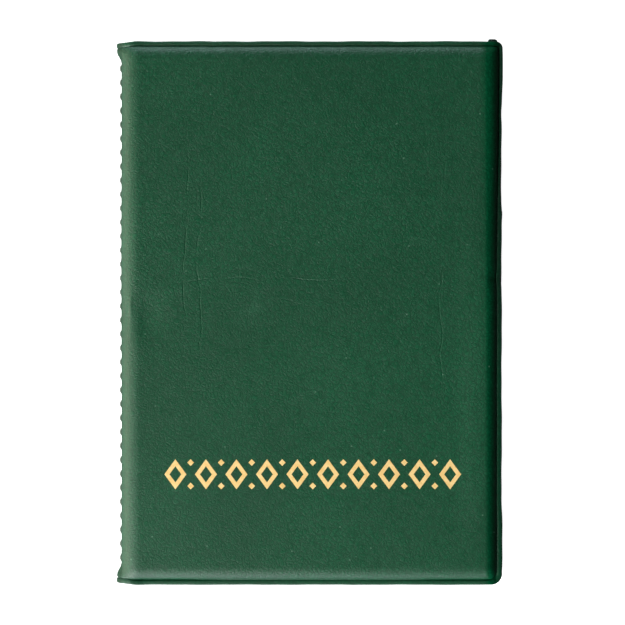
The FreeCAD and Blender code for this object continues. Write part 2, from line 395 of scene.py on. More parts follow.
def weld_detail(s, y, d):
    """The bead's crown and rolled edge, and the pressed groove inside it."""
    groove_line = groove_at(s, y)
    half_bead = (groove_line - BEAD_TO_GROOVE) / 2
    crown = BEAD_CROWN * np.clip(1 - ((d - half_bead) / half_bead) ** 2, 0, 1)
    t = np.clip(1 - d / ROLL_RUN, 0, 1)
    roll = -EDGE_ROLL * (1 - np.sqrt(1 - t**2))
    ripple = 1 + GROOVE_RIPPLE * np.sin(s * 1.9 + 0.6) * np.sin(y * 1.3)
    mid_tail = falling(HALF_Y + y, end=3.5, run=1.0)
    mid_tail = mid_tail * rising(s, start=16.0, run=12.0)
    mid_tail = mid_tail * falling(s, end=S_END - 12.0, run=12.0)
    depth = GROOVE_DEPTH * ripple * (1 - GROOVE_FAINTER * mid_tail)
    return crown + roll - depth * bump_at(d, centre=groove_line, width=GROOVE_WIDTH)


def lining_tab(s, y, side):
    """A corner of the back cover's dark lining, pushed out past the head beside the fore-edge."""
    if side > 0:
        return 0.0
    from_fore = S_END - s
    across = rising(from_fore, start=0.5, run=0.4) * falling(from_fore, end=3.3, run=0.4)
    # Painted shade: the dark lining shows here for the back cover's corner, which lies in shade.
    return TAB_REACH * across * bump_at(y, centre=HALF_Y, width=1.0)


def fore_wear(y, side):
    """How far the outline of the fore-edge stands out where it was cut unevenly or dented."""
    wander = 0.05 * np.sin(y * 0.23 + 2 * side) + 0.03 * np.sin(y * 0.71 + 1.0)
    if side < 0:
        return wander + 0.2 * rising(y, start=-61.0, run=2.0) * falling(y, end=64.0, run=3.0)
    dents = 0.1 * bump_at(y, centre=24.4, width=1.5)
    dents = dents - 0.3 * bump_at(y, centre=CRIMP_Y, width=1.3)
    dents = dents - 0.12 * bump_at(y, centre=49.5, width=2.0)
    set_back = -0.15 * rising(y, start=25.2, run=0.8) * falling(y, end=40.5, run=4.0)
    flare_head = 0.3 * rising(y, start=53.0, run=6.0)
    flare_tail = 0.13 * falling(y, end=-46.0, run=5.0)
    return wander + dents + set_back + flare_head + flare_tail


def end_wear(s, y, side):
    """How far the outline of the head or tail stands out. The head has a nick as well."""
    wander = 0.045 * np.sin(s * 0.31 + side) + 0.03 * np.sin(s * 0.83 + 2 * side)
    head_nick = -0.16 * bump_at(S_END - s, centre=FORE_X + 24.5, width=0.9)
    return np.where(y > 0, wander + head_nick, 0.5 * wander)


def outline_wobble(s, y, d, side):
    """Small wanders, nicks and dents of the welded edge: (along s, along y)."""
    near_edge = bump_at(d, centre=0.0, width=WEAR_REACH)
    by_fore = bump_at(s, centre=S_END, width=WEAR_REACH)
    by_end = bump_at(np.abs(y), centre=HALF_Y, width=WEAR_REACH)
    push_s = near_edge * by_fore * fore_wear(y, side)
    push_y = near_edge * by_end * end_wear(s, y, side) * np.sign(y)
    return push_s, push_y


def cover_grid(fine_step, row_step, col_step):
    """(s, y, distance from the outline) over one cover and its half of the spine."""
    round_spine_end = ARC + 2.0
    rows = mirrored_rows(graded(HALF_Y, COVER_FINE_RUN, fine_step, row_step))
    from_fore = graded(S_END - round_spine_end, COVER_FINE_RUN, fine_step, col_step)
    round_spine = np.arange(0, round_spine_end - 1e-6, SPINE_STEP)
    cols = np.concatenate([round_spine, (S_END - from_fore)[::-1]])
    s, y = np.meshgrid(cols, rows)
    return round_corners(s, y, S_END, HALF_Y, CORNER_ZONE, HEAD_CORNER, TAIL_CORNER)


def cover_point(s, y, d, level, side):
    """Frame points at a level off the carrier, with the outline's own wear."""
    push_s, push_y = outline_wobble(s, y, d, side)
    level = level + fore_droop(s, y, d)
    by_end = falling(HALF_Y - np.abs(y), end=5.0, run=5.0)
    pull = END_PULL * by_end * (1 - smooth(s / (ARC + 1.0)))
    u, h, nu, nh = carrier(s)
    return place(u + push_s + nu * level, y + push_y - np.sign(y) * pull, h + nh * level, side)


def skin_inner_level(s, y, d, side):
    """The inside of the skin, which the weld presses thinner."""
    pressed = falling(d, end=3.2, run=1.6) * cover_share(s)
    return base_level(s, y, d, side) - SKIN + WELD_THINNING * pressed


def edge_shade_and_dulling(x, y):
    """How much painted shade darkens the skin, and how dulled it is, by its fore-edge and by the
    thread.

    The painted shade is lighter on the flange outside the groove, most of all towards the tail."""
    from_fore = FORE_X - x
    up = (y / HALF_Y + 1) / 2
    narrow = flange_narrows(y)
    flange_width = FLANGE_TAIL + (FLANGE_HEAD - FLANGE_TAIL) * narrow
    flange = falling(from_fore, end=flange_width, run=0.5)
    shade_lifted_on_flange = (0.95 - 0.55 * rising(y, start=-18.0, run=18.0)) * flange
    # Painted shade: the slope inside the fore-edge is darkened, with less of it on the flange.
    shade_end = SHADE_REACH - SHADE_LESS_AT_HEAD * narrow
    painted_shade = falling(from_fore, end=shade_end, run=SHADE_RUN) * (1 - shade_lifted_on_flange)
    dull_end = DULL_REACH + DULL_MORE_AT_HEAD * up
    dulled = falling(from_fore, end=dull_end, run=DULL_RUN) * (1 - 0.7 * flange)
    # Painted shade along the spine's outermost strip by the thread, which is dulled there as
    # well.
    by_thread = 0.5 * falling(x, end=SPINE_X - SPINE_R + 0.6, run=0.35)
    return {"painted_shade": np.maximum(painted_shade, by_thread), "dulled": np.maximum(dulled, by_thread)}


def cover_skin(name, side):
    """The welded skin of one cover and its half of the spine, with its painted shade and dulling
    stored on it.
    """
    s, y, d = cover_grid(fine_step=0.12, row_step=0.87, col_step=1.4)
    outer = base_level(s, y, d, side) + weld_detail(s, y, d) + stitch_pinch(s, y)
    inner = skin_inner_level(s, y, d, side)
    top = cover_point(s, y, d, outer, side)
    foot = cover_point(s, y, d, inner, side)
    piece = shell(name, top, foot, sharp_degrees=60.0)
    points = np.empty(len(piece.data.vertices) * 3)
    piece.data.vertices.foreach_get("co", points)
    x, y, _ = points.reshape(-1, 3).T / MM
    for edge_layer, share in edge_shade_and_dulling(x, y).items():
        piece.data.attributes.new(edge_layer, "FLOAT", "POINT").data.foreach_set("value", share)
    return piece


def lining_levels(s, y, d, side):
    """Upper and lower levels of the lining: under the board, then hugging the skin."""
    under_board = SPINE_R - BOARD_FOOT
    ramp = -SKIN - (under_board - SKIN) * smooth((s - ARC) / LINING_RAMP)
    upper = np.minimum(ramp, skin_inner_level(s, y, d, side)) - CLEARANCE
    roll = EDGE_ROLL * np.clip(1 - d / ROLL_RUN, 0, 1) ** 2
    no_limit = -9.0
    foot = np.where(s > ARC + LINING_RAMP, -under_board - LINING, no_limit)
    return upper, np.maximum(upper - LINING, foot) + 0.5 * roll


def cover_lining(name, side):
    """The lining of one cover and its half of the spine."""
    s, y, d = cover_grid(fine_step=0.25, row_step=1.7, col_step=2.6)
    upper, lower = lining_levels(s, y, d, side)
    top = cover_point(s, y, d, upper, side)
    foot = cover_point(s, y, d, lower, side)
    tab = lining_tab(s, y, side)
    top[..., 1] += tab
    foot[..., 1] += tab
    return shell(name, top, foot, sharp_degrees=60.0)


def cover_pad(name, side):
    """The foam: flat on its board and crowned under the skin, thin at its edges."""
    end_s = S_END - PAD_INSET
    half_y = HALF_Y - PAD_INSET
    start = ARC + 0.15
    from_fore = graded(end_s - start, fine_run=2.4, fine_step=0.3, coarse_step=2.5)
    from_end = graded(HALF_Y, fine_run=2.4, fine_step=0.3, coarse_step=2.5)
    cols = (end_s - from_fore)[::-1]
    rows = mirrored_rows(from_end) * half_y / HALF_Y
    s, y = np.meshgrid(cols, rows)
    s, y, d = round_corners(s, y, end_s, half_y, zone=3.0, head_radius=1.2, tail_radius=1.6)
    upper = skin_inner_level(s, y, d + PAD_INSET, side) - 2 * CLEARANCE
    lift, lift_run, thinnest = 0.62, 0.75, 0.04
    slope = lift * np.clip(1 - (s - start) / lift_run, 0, 1)
    foot = np.minimum((BOARD_TOP - SPINE_R) + CLEARANCE + slope, upper - thinnest)
    top = place(s - ARC, y, SPINE_R + upper, side)
    return shell(name, top, place(s - ARC, y, SPINE_R + foot, side))


def pocket_flap(name, node, side):
    """The clear flap inside a cover, pinched to the lining where it is welded."""
    start_u = low(node)[0] - SPINE_X
    end_u = FORE_X - SPINE_X
    film_top = (high(node)[2] if side > 0 else TOP - low(node)[2]) - MID
    film_foot = (low(node)[2] if side > 0 else TOP - high(node)[2]) - MID
    thick = 0.13
    from_fore = graded(end_u - start_u, fine_run=3.2, fine_step=0.2, coarse_step=2.2)
    cols = (end_u - from_fore)[::-1]
    rows = mirrored_rows(graded(HALF_Y, fine_run=3.2, fine_step=0.2, coarse_step=2.2))
    u, y = np.meshgrid(cols, rows)
    u, y, d = round_corners(u, y, end_u, HALF_Y, CORNER_ZONE, HEAD_CORNER, TAIL_CORNER)
    welded = 1 - rising(d, start=1.1, run=0.7)
    weld_lift, ridge_height, ridge_pitch, wave_height = 0.06, 0.012, 0.4, 0.018
    ridge = ridge_height * np.sin(d * 2 * math.pi / ridge_pitch) * welded
    wave = wave_height * np.sin(y / 9.0 + side) * np.sin(u / 11.0) * (1 - welded)
    lower = film_foot + CLEARANCE + weld_lift * welded + ridge + wave
    lower = lower + fore_droop(u - end_u + S_END, y, d)
    upper = np.minimum(lower + thick, film_top)
    most_trim, trim_run, corner_run = 0.12, 0.5, 1.5
    trim = most_trim * np.exp(-d / trim_run)
    u = u - trim * np.exp(-(end_u - u) / corner_run)
    y = y - np.sign(y) * trim * np.exp(-(HALF_Y - np.abs(y)) / corner_run)
    return shell(name, place(u, y, upper, side), place(u, y, lower, side))


# ---------------------------------------------------------------- leaves


def film_lengths(leaf_h, layer):
    """A film's radius round its sewn fold, a quarter turn of that, and its whole length."""
    above = 1 if leaf_h > 0 else -1
    fold_r = abs(leaf_h) + layer * above * FOLD_HALF_GAP
    quarter = math.pi / 2 * fold_r
    return fold_r, quarter, quarter + LEAF_END_U - FOLD_U


def leaf_film(name, leaf_h, layer):
    """One film of a sleeve, from the middle of its sewn fold to the fore-edge.

    layer is 1 for the film nearer the front cover and -1 for the other."""
    above = 1 if leaf_h > 0 else -1
    outside = layer * above
    fold_r, quarter, length = film_lengths(leaf_h, layer)
    round_fold = np.linspace(0, quarter, 7)[:-1]
    root = np.linspace(quarter, quarter + ROOT_RUN, 16)[:-1]
    beyond_root = length - quarter - ROOT_RUN
    from_fore = graded(beyond_root, fine_run=3.0, fine_step=0.25, coarse_step=3.4)
    from_end = graded(HALF_Y, fine_run=3.0, fine_step=0.25, coarse_step=3.4)
    along = np.concatenate([round_fold, root, (length - from_fore)[::-1]])
    rows = mirrored_rows(from_end) * LEAF_HALF_Y / HALF_Y
    t, y = np.meshgrid(along, rows)
    corner_zone = 4.0
    t, y, _ = round_corners(t, y, length, LEAF_HALF_Y, corner_zone, LEAF_CORNER, LEAF_CORNER)
    turn = math.pi - np.minimum(t, quarter) / fold_r
    u = FOLD_U + fold_r * np.cos(turn) + np.maximum(t - quarter, 0)
    past = t - quarter
    from_root = u - (low("leaf_1_front_film")[0] - SPINE_X)
    side_d = np.minimum(length - t, y + LEAF_HALF_Y)
    no_weld = 9.0
    weld_d = np.minimum(side_d, np.where(from_root > -0.2, from_root, no_weld))
    welded = 1 - rising(weld_d, start=1.0, run=0.8)
    ridge_height, ridge_pitch, weld_gap = 0.010, 0.5, 0.004
    ridge = ridge_height * np.sin(weld_d * 2 * math.pi / ridge_pitch) * welded
    opened = LEAF_HALF_GAP * (1 - welded) + (FILM / 2 + weld_gap) * welded
    gap = FOLD_HALF_GAP + (opened - FOLD_HALF_GAP) * rising(past, start=0.0, run=1.2)
    straight_h = abs(leaf_h) + outside * (gap + ridge * (past > 0))
    h = np.where(past > 0, straight_h, fold_r * np.sin(turn))
    nu = np.where(past > 0, 0.0, np.cos(turn))
    nh = np.where(past > 0, 1.0, np.sin(turn))
    kept_thickness = 0.97
    half = FILM / 2 * kept_thickness
    outer = place(u + nu * half, y, above * (h + nh * half), 1)
    inner = place(u - nu * half, y, above * (h - nh * half), 1)
    return shell(name, outer, inner)


def add_leaf(number, film_material):
    """The two films of one sleeve, each bending from the spine out into the leaf."""
    joint = JOINTS[f"leaf_{number}_turn"]
    pivot = np.array(joint["pos_m"]) / MM
    leaf_h = pivot[2] - MID
    fold = ("outer_fold", "middle_fold", "inner_fold")[min(number, LEAF_COUNT + 1 - number) - 1]
    for face, layer in (("front", 1), ("back", -1)):
        film = leaf_film(f"leaf_{number}_{face}_sleeve", leaf_h, layer)
        film.data.materials.append(film_material)
        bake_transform(film)
        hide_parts(f"leaf_{number}_{face}_film", fold)


# ---------------------------------------------------------------- thread and foil


def thread_path():
    """The single thread: runs outside the spine, down a hole, and along the innermost fold."""
    step, bend, dip = 0.16, 0.05, 0.7
    in_u = FOLD_U + 0.02
    half = STITCH_LENGTH / 2
    gap = STITCH_PITCH - STITCH_LENGTH
    points = []
    for i in range(STITCH_COUNT):
        middle = -STITCH_SPAN / 2 + i * STITCH_PITCH
        hole = middle + half
        for t in np.linspace(-1, 1, 13):
            points.append((-(SPINE_R + THREAD_PROUD - dip * abs(t) ** 3), middle + t * half))
        if i == STITCH_COUNT - 1:
            break
        for u in np.arange(-SPINE_R + dip, in_u - 2 * bend, step):
            points.append((u, hole + bend))
        for t in np.linspace(0, 1, 9):
            points.append((in_u, hole + 2 * bend + t * (gap - 4 * bend)))
        for u in np.arange(in_u - 2 * bend, -SPINE_R + dip - 2 * bend, -step):
            points.append((u, hole + gap - bend))
    flat = np.array(points)
    return place(flat[:, 0], flat[:, 1], np.zeros(len(flat)), 1)


def ring_quads(rows, sides, first):
    """Quads between closed rings of points, and a face over each end."""
    index = first + np.arange(rows * sides).reshape(rows, sides)
    after = np.roll(index, -1, axis=1)
    quads = np.stack([index[:-1], after[:-1], after[1:], index[1:]], axis=-1)
    return quads.reshape(-1, 4).tolist() + [index[0][::-1].tolist(), index[-1].tolist()]


def sewn_thread():
    """A three-ply twisted thread, drawn thinner where it lies inside the fold."""
    path = thread_path()
    steps = np.linalg.norm(np.diff(path, axis=0), axis=1)
    travelled = np.concatenate([[0], np.cumsum(steps)])
    inside = rising(path[:, 0], start=SPINE_X - SPINE_R + 0.5, run=1.2)
    whole_r = THREAD_R * (1 - THINNER_INSIDE * inside)
    ply_offset = whole_r * PLY_OFFSET_SHARE
    ply_r = whole_r * PLY_R_SHARE
    along = np.gradient(path, axis=0)
    along /= np.linalg.norm(along, axis=1, keepdims=True)
    across = np.cross(along, np.array([0.0, 0.0, 1.0]))
    rise = np.cross(across, along)
    sides = 7
    angle = np.arange(sides) * 2 * math.pi / sides
    ring = across[:, None] * np.cos(angle)[None, :, None]
    ring = ring + rise[:, None] * np.sin(angle)[None, :, None]
    points, faces = [], []
    for ply in range(PLY_COUNT):
        turn = travelled * 2 * math.pi / PLY_TURN + ply * 2 * math.pi / PLY_COUNT
        away = across * np.cos(turn)[:, None] + rise * np.sin(turn)[:, None]
        centres = path + away * ply_offset[:, None]
        rings = centres[:, None] + ring * ply_r[:, None, None]
        faces += ring_quads(len(path), sides, ply * len(path) * sides)
        points.append(rings.reshape(-1, 3))
    return make_object("sewn_thread", np.concatenate(points), faces, sharp_degrees=80.0)


FOIL_WIDTH = high("foil_ornament")[0] - low("foil_ornament")[0]
FOIL_HEIGHT = high("foil_ornament")[1] - low("foil_ornament")[1]
FOIL_SHIFT = 0.4
FOIL_X = (high("foil_ornament")[0] + low("foil_ornament")[0]) / 2 + FOIL_SHIFT
FOIL_Y = (high("foil_ornament")[1] + low("foil_ornament")[1]) / 2
LOZENGE_COUNT = 10
LOZENGE_HALF_W = 2.75
LOZENGE_STROKE = 1.05
DOT_HALF = 0.85
FOIL_LIFT = 0.035
FOIL_SUNK = -0.06
FOIL_CHAMFER = 0.04


def face_z(x, y):
    """Height of the padded front face well inside its edges."""
    u = x - SPINE_X
    d = np.minimum(FORE_X - x, HALF_Y - np.abs(y))
    return MID + SPINE_R + base_level(ARC + u, y, d, 1)


def foil_ornament():
    """A row of outlined lozenges with small solid ones between, laid on the grained face."""
    half_h = FOIL_HEIGHT / 2
    step = (FOIL_WIDTH - 2 * LOZENGE_HALF_W) / (LOZENGE_COUNT - 1)
    reach = math.hypot(LOZENGE_HALF_W, half_h)
    shrink = 1 - LOZENGE_STROKE * reach / (LOZENGE_HALF_W * half_h)
    points, faces = [], []

    def add_band(corners_out, corners_in):
        """A closed ring of foil between two outlines with the same number of points."""
        n = len(corners_out)
        first = sum(len(p) for p in points)
        centre_line = (corners_out + corners_in) / 2
        shrink_out = corners_out + (centre_line - corners_out) * FOIL_CHAMFER
        shrink_in = corners_in + (centre_line - corners_in) * FOIL_CHAMFER
        for flat, level in (
            (corners_out, FOIL_SUNK),
            (shrink_out, FOIL_LIFT),
            (shrink_in, FOIL_LIFT),
            (corners_in, FOIL_SUNK),
        ):
            z = face_z(flat[:, 0], flat[:, 1]) + level
            points.append(np.column_stack([flat, z]))
        ring = first + np.arange(4 * n).reshape(4, n)
        for a, b in ((0, 1), (1, 2), (2, 3), (3, 0)):
            after_a, after_b = np.roll(ring[a], -1), np.roll(ring[b], -1)
            faces.extend(np.stack([ring[a], after_a, after_b, ring[b]], axis=-1).tolist())

    def lozenge(x, y, half_w, half_y, pieces=6):
        """The outline of a lozenge, with each side in a number of pieces."""
        corners = np.array([(x - half_w, y), (x, y - half_y), (x + half_w, y), (x, y + half_y)])
        share = np.arange(pieces)[:, None] / pieces
        sides = [corners[i] + (corners[(i + 1) % 4] - corners[i]) * share for i in range(4)]
        return np.concatenate(sides)

    for i in range(LOZENGE_COUNT):
        x = FOIL_X + (i - (LOZENGE_COUNT - 1) / 2) * step
        add_band(
            lozenge(x, FOIL_Y, LOZENGE_HALF_W, half_h),
            lozenge(x, FOIL_Y, LOZENGE_HALF_W * shrink, half_h * shrink),
        )
        if i < LOZENGE_COUNT - 1:
            for side in (1, -1):
                y = FOIL_Y + side * (half_h - DOT_HALF)
                nearly_solid = 0.02
                add_band(
                    lozenge(x + step / 2, y, DOT_HALF, DOT_HALF, 3),
                    lozenge(x + step / 2, y, nearly_solid, nearly_solid, 3),
                )
    return make_object("foil_lozenges", np.concatenate(points), faces, sharp_degrees=30.0)


# ---------------------------------------------------------------- materials


class Nodes:
    """A material's node tree, with short ways to add to it."""

    def __init__(self, name):
        self.material = bpy.data.materials.new(name)
        self.material.use_nodes = True
        self.tree = self.material.node_tree
        self.shader = self.tree.nodes["Principled BSDF"]
        self.output = self.tree.nodes["Material Output"]
        coords = self.tree.nodes.new("ShaderNodeTexCoord")
        scale = self.tree.nodes.new("ShaderNodeVectorMath")
        scale.operation = "SCALE"
        scale.inputs["Scale"].default_value = 1 / MM
        self.tree.links.new(coords.outputs["Object"], scale.inputs[0])
        self.mm = scale.outputs[0]

    def link(self, a, b):
        self.tree.links.new(a, b)

    def put(self, socket, value):
        if isinstance(value, bpy.types.NodeSocket):
            self.link(value, socket)
        else:
            socket.default_value = value

    def set(self, **values):
        for name, value in values.items():
            self.put(self.shader.inputs[name.replace("_", " ")], value)

    def noise(self, scale, detail=3.0, rough=0.5, vector=None):
        node = self.tree.nodes.new("ShaderNodeTexNoise")
        node.inputs["Scale"].default_value = scale
        node.inputs["Detail"].default_value = detail
        node.inputs["Roughness"].default_value = rough
        self.link(vector or self.mm, node.inputs["Vector"])
        return node.outputs["Fac"]

    def voronoi(self, scale, feature="F1", vector=None, output="Distance"):
        node = self.tree.nodes.new("ShaderNodeTexVoronoi")
        node.feature = feature
        node.inputs["Scale"].default_value = scale
        self.link(vector or self.mm, node.inputs["Vector"])
        return node.outputs[output]

    def math(self, operation, a, b=0.0, clamp=False):
        node = self.tree.nodes.new("ShaderNodeMath")
        node.operation = operation
        node.use_clamp = clamp
        self.put(node.inputs[0], a)
        self.put(node.inputs[1], b)
        return node.outputs[0]

    def span(self, value, low_in, high_in, low_out=0.0, high_out=1.0):
        node = self.tree.nodes.new("ShaderNodeMapRange")
        self.put(node.inputs["Value"], value)
        for key, number in zip(
            ("From Min", "From Max", "To Min", "To Max"), (low_in, high_in, low_out, high_out)
        ):
            node.inputs[key].default_value = number
        return node.outputs["Result"]

    def mix(self, share, a, b):
        node = self.tree.nodes.new("ShaderNodeMix")
        node.data_type = "RGBA"
        self.put(node.inputs["Factor"], share)
        self.put(node.inputs["A"], a)
        self.put(node.inputs["B"], b)
        return node.outputs["Result"]

    def stretch(self, x, y, z):
        node = self.tree.nodes.new("ShaderNodeVectorMath")
        node.operation = "MULTIPLY"
        self.link(self.mm, node.inputs[0])
        node.inputs[1].default_value = (x, y, z)
        return node.outputs[0]

    def axis(self, name):
        node = self.tree.nodes.new("ShaderNodeSeparateXYZ")
        self.link(self.mm, node.inputs[0])
        return node.outputs[name]

    def attribute(self, name):
        node = self.tree.nodes.new("ShaderNodeAttribute")
        node.attribute_name = name
        return node.outputs["Fac"]

    def spot(self, x, y, reach):
        """1 over a point of the front face, falling to 0 at reach."""
        flat = self.stretch(1.0, 1.0, 0.0)
        node = self.tree.nodes.new("ShaderNodeVectorMath")
        node.operation = "DISTANCE"
        self.link(flat, node.inputs[0])
        node.inputs[1].default_value = (x, y, 0.0)
        over = self.span(node.outputs["Value"], 0.0, reach, 1.0, 0.0)
        return self.math("MULTIPLY", over, self.math("GREATER_THAN", self.axis("Z"), MID))

    def crease(self, across, along, centre, middle, half_length, wander):
        """1 on a thin wandering line and 0 away from it and past its ends."""
        off = self.math("ADD", self.math("SUBTRACT", across, centre), wander)
        half_width, fade = 0.25, 6
        line = self.span(self.math("ABSOLUTE", off), 0.0, half_width, 1.0, 0.0)
        run = self.math("ABSOLUTE", self.math("SUBTRACT", along, middle))
        ends = self.span(run, half_length - fade, half_length, 1.0, 0.0)
        return self.math("MULTIPLY", line, ends)

    def bump(self, height, depth_mm, strength=1.0):
        node = self.tree.nodes.new("ShaderNodeBump")
        self.put(node.inputs["Strength"], strength)
        node.inputs["Distance"].default_value = depth_mm * MM
        self.put(node.inputs["Height"], height)
        return node.outputs["Normal"]


def rgb(r, g, b):
    """A colour socket's value."""
    return (r, g, b, 1.0)


def leather_height(n):
    """Pebbled leathercloth: soft cells with creases between, and fine pores."""
    warp = n.tree.nodes.new("ShaderNodeTexNoise")
    warp.inputs["Scale"].default_value = 0.9
    n.link(n.mm, warp.inputs["Vector"])
    shifted = n.tree.nodes.new("ShaderNodeVectorMath")
    shifted.operation = "MULTIPLY_ADD"
    n.link(warp.outputs["Color"], shifted.inputs[0])
    shifted.inputs[1].default_value = (0.9, 0.9, 0.9)
    n.link(n.mm, shifted.inputs[2])
    cells = n.voronoi(1.05, "DISTANCE_TO_EDGE", shifted.outputs[0])
    small = n.voronoi(2.3, "DISTANCE_TO_EDGE", shifted.outputs[0])
    pebble = n.span(cells, 0.0, 0.25)
    fine = n.span(small, 0.0, 0.16)
    pores = n.noise(1.7, 4.0, 0.65)
    both = n.math("ADD", n.math("MULTIPLY", pebble, 0.45), n.math("MULTIPLY", fine, 0.3))
    return n.math("ADD", both, n.math("MULTIPLY", pores, 0.7))


def scattered_dots(n):
    """Small round specks of dust, about one to every 15 mm."""
    node = n.tree.nodes.new("ShaderNodeTexVoronoi")
    node.voronoi_dimensions = "2D"
    node.inputs["Scale"].default_value = 0.066
    n.link(n.mm, node.inputs["Vector"])
    return n.span(node.outputs["Distance"], 0.009, 0.016, 1.0, 0.0)


def handling_creases(n):
    """A few long thin creases pressed into the face, broken here and there."""
    x, y = n.axis("X"), n.axis("Y")
    wander = n.math("MULTIPLY", n.math("SUBTRACT", n.noise(0.06, 3.0), 0.5), 6.0)
    lines = n.crease(y, x, 8.4, -9.0, 26.0, wander)
    upright = ((-27.3, 2.5, 32.0), (-30.5, 20.0, 24.0), (33.0, 10.0, 30.0))
    for centre, middle, half_length in upright:
        lines = n.math("ADD", lines, n.crease(x, y, centre, middle, half_length, wander))
    return n.math("MULTIPLY", lines, n.span(n.noise(0.09, 2.0), 0.42, 0.55))


def cover_vinyl():
    """Green grained vinyl, with creases, specks and scuffs, painted shade darkening the grain's
    low creases, and painted shade by the fore-edge and along the spine.
    """
    n = Nodes("cover_vinyl")
    height = leather_height(n)
    broad = n.noise(0.035, 3.0)
    mottled = n.noise(0.9, 4.0, 0.65)
    shade = n.math("ADD", n.math("MULTIPLY", broad, 0.5), n.math("MULTIPLY", mottled, 0.5))
    base = n.mix(
        n.span(shade, 0.35, 0.65), rgb(0.0003, 0.055, 0.0203), rgb(0.0015, 0.083, 0.0318)
    )
    # Painted shade: the grain's low creases are coloured darker.
    crease_shaded = n.mix(n.span(height, 0.35, 0.95), rgb(0.0002, 0.040, 0.0145), base)
    specks = n.math("MULTIPLY", scattered_dots(n), n.span(n.noise(0.05, 2.0), 0.46, 0.5))
    specked = n.mix(n.math("MULTIPLY", specks, 0.7), crease_shaded, rgb(0.09, 0.2, 0.13))
    streaks = n.span(n.noise(0.9, 4.0, 0.7, n.stretch(1.0, 0.5, 1.0)), 0.4, 0.65)
    rubbed = n.math("ADD", n.spot(-14.0, 2.0, 4.5), n.spot(11.0, 62.0, 1.2))
    scuffs = n.math("MULTIPLY", n.math("MULTIPLY", rubbed, streaks), 0.5)
    scuffed = n.mix(scuffs, specked, rgb(0.03, 0.125, 0.066))
    # Painted shade by the fore-edge and along the spine: a near-black green, mottled a little.
    painted_shade_share = n.math("MULTIPLY", n.attribute("painted_shade"), n.span(mottled, 0.3, 0.7, 0.65, 0.85))
    with_painted_shade = n.mix(painted_shade_share, scuffed, rgb(0.0004, 0.010, 0.004))
    relief = n.math("SUBTRACT", height, n.math("MULTIPLY", handling_creases(n), 0.8))
    n.set(
        Base_Color=with_painted_shade,
        Roughness=n.span(n.noise(0.5, 4.0, 0.7), 0.3, 0.7, 0.40, 0.52),
        Specular_IOR_Level=n.span(n.attribute("dulled"), 0.0, 1.0, 0.5, 0.03),
        Normal=n.bump(relief, 0.09, n.span(n.axis("Y"), -35.0, 25.0, 0.52, 0.74)),
    )
    return n.material


def lining_vinyl():
    """Thin dark vinyl with a faint woven texture."""
    n = Nodes("lining_vinyl")
    weave = n.math(
        "MULTIPLY",
        n.math("SINE", n.math("MULTIPLY", n.axis("X"), 9.0)),
        n.math("SINE", n.math("MULTIPLY", n.axis("Y"), 9.0)),
    )
    height = n.math("ADD", n.math("MULTIPLY", weave, 0.3), n.noise(2.2, 3.0))
    colour = n.mix(
        n.span(n.noise(0.12, 4.0), 0.35, 0.65), rgb(0.003, 0.020, 0.011), rgb(0.006, 0.030, 0.017)
    )
    n.set(
        Base_Color=colour,
        Roughness=n.span(n.noise(0.8, 3.0), 0.3, 0.7, 0.42, 0.56),
        Normal=n.bump(height, 0.02, 0.5),
    )
    return n.material


def foam():
    n = Nodes("foam")
    cells = n.voronoi(3.2)
    colour = n.mix(n.span(cells, 0.1, 0.6), rgb(0.62, 0.58, 0.48), rgb(0.86, 0.83, 0.74))
    n.set(Base_Color=colour, Roughness=0.95, Normal=n.bump(cells, 0.15, 0.8))
    return n.material


def greyboard():
    n = Nodes("greyboard")
    fibres = n.noise(2.4, 6.0, 0.7, n.stretch(1.0, 0.25, 1.0))
    flecks = n.span(n.noise(7.0, 2.0), 0.62, 0.7)
    colour = n.mix(n.span(fibres, 0.3, 0.7), rgb(0.24, 0.225, 0.2), rgb(0.36, 0.34, 0.305))
    colour = n.mix(n.math("MULTIPLY", flecks, 0.4), colour, rgb(0.1, 0.095, 0.085))
    n.set(Base_Color=colour, Roughness=0.88, Normal=n.bump(fibres, 0.04, 0.6))
    return n.material


def clear_film():
    """Thin soft PVC: clear, glossy, faintly milky, with the odd handling scratch."""
    n = Nodes("clear_film")
    ripple = n.noise(0.13, 3.0)
    scratch = n.span(n.noise(1.2, 5.0, 0.7, n.stretch(0.12, 2.0, 1.0)), 0.62, 0.75)
    n.set(
        Base_Color=rgb(0.9, 0.93, 0.92),
        Roughness=n.span(scratch, 0.0, 1.0, 0.12, 0.35),
        Normal=n.bump(ripple, 0.4, 0.35),
        Metallic=0.75,
    )
    clear = n.tree.nodes.new("ShaderNodeBsdfTransparent")
    clear.inputs["Color"].default_value = rgb(0.97, 0.98, 0.975)
    facing = n.tree.nodes.new("ShaderNodeFresnel")
    facing.inputs["IOR"].default_value = 1.5
    share = n.math("ADD", facing.outputs[0], n.math("MULTIPLY", scratch, 0.06))
    share = n.math("ADD", share, 0.02, clamp=True)
    blend = n.tree.nodes.new("ShaderNodeMixShader")
    n.put(blend.inputs["Fac"], share)
    n.link(clear.outputs[0], blend.inputs[1])
    n.link(n.shader.outputs[0], blend.inputs[2])
    n.link(blend.outputs[0], n.output.inputs["Surface"])
    return n.material


